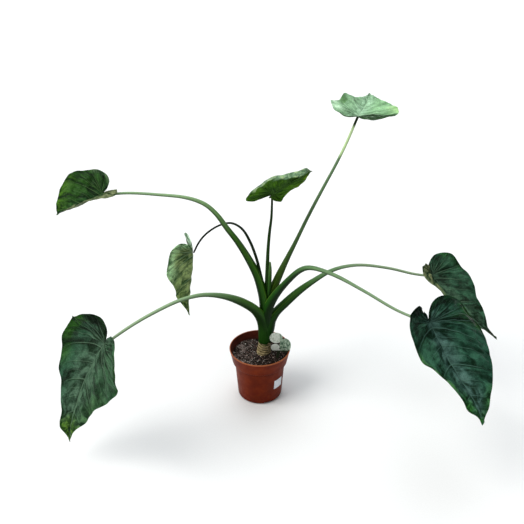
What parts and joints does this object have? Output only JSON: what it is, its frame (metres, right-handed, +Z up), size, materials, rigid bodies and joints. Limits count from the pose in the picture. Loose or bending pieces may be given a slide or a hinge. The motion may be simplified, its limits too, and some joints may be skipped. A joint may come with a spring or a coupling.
{
  "type": "potted chinese taro",
  "caption": "Free-standing potted aroid: heart-shaped leaves on long arching stalks that sheathe a short ringed stem, standing in the soil of a round nursery pot.",
  "frame": {"origin": "middle of the pot's flat foot, on the surface it stands on", "axes": "+Z up, -Y towards the viewer of the picture, +X to the viewer's right, along the widest spread of the leaves"},
  "size_m": [0.9536, 0.6314, 0.6906],
  "materials": {
    "leaf": "satin",
    "stalk": "satin",
    "bark": "matte",
    "pot": "satin",
    "soil": "matte",
    "tag": "satin",
    "sticker": "matte"
  },
  "bodies": {
    "root": {"pot": "pot", "soil": "soil", "stem": "bark", "spear": "stalk", "petiole_front_left": "stalk", "petiole_right": "stalk", "petiole_front_right": "stalk", "petiole_upper_left": "stalk", "petiole_upper_right": "stalk", "petiole_back_left": "stalk", "petiole_top": "stalk", "blade_front_left": "leaf", "blade_right": "leaf", "blade_front_right": "leaf", "blade_upper_left": "leaf", "blade_upper_right": "leaf", "blade_back_left": "leaf", "blade_top": "leaf", "care_tag": "tag", "sticker": "sticker"}
  },
  "joints": []
}
